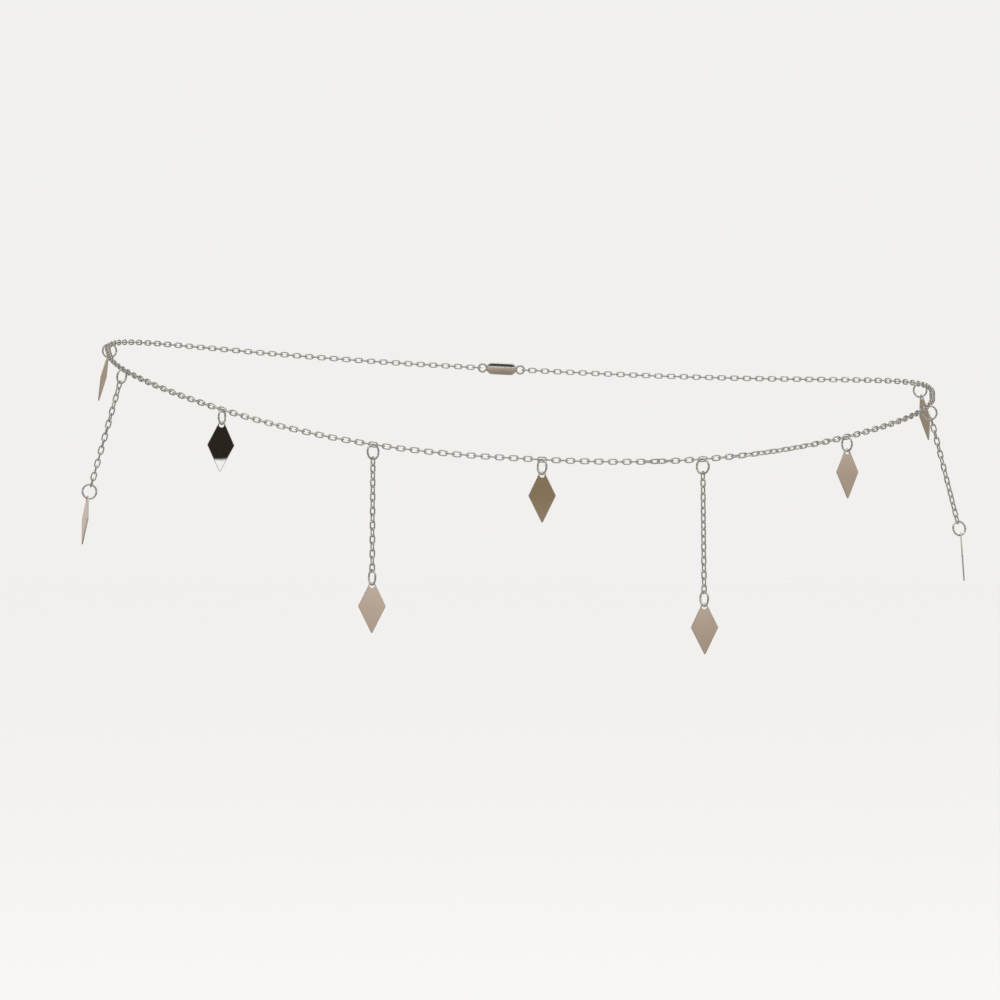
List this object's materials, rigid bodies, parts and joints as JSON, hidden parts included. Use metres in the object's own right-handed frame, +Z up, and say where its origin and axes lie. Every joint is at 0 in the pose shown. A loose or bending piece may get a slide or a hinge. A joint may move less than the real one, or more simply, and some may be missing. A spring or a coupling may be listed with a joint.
{
  "type": "waist chain",
  "caption": "Fine cable waist chain with flat rhombus drops on jump rings, hung by turns close to the chain and on short lengths of chain.",
  "frame": {"origin": "the middle of the waist or hips that the loop sits on, at the mean height of the chain's sides", "axes": "+X to the wearer's left and along the loop's width, -Y to the wearer's front, +Z up along the body"},
  "size_m": [0.305, 0.1774, 0.1088],
  "materials": {
    "chain": "polished silver-coloured wire",
    "clasp": "polished silver-coloured metal",
    "rings": "polished silver-coloured wire, bent into rings",
    "plates": "mirror-polished sheet with softly rounded edges"
  },
  "bodies": {
    "root": {"chain_right": "chain", "chain_left": "chain", "clasp": "clasp", "ring_1": "rings", "ring_2": "rings", "ring_3": "rings", "ring_4": "rings", "ring_5": "rings", "ring_6": "rings", "ring_7": "rings", "ring_8": "rings", "ring_9": "rings", "drop_chain_2": "chain", "drop_chain_4": "chain", "drop_chain_6": "chain", "drop_chain_8": "chain", "low_ring_2": "rings", "low_ring_4": "rings", "low_ring_6": "rings", "low_ring_8": "rings", "plate_1": "plates", "plate_2": "plates", "plate_3": "plates", "plate_4": "plates", "plate_5": "plates", "plate_6": "plates", "plate_7": "plates", "plate_8": "plates", "plate_9": "plates"}
  },
  "joints": []
}
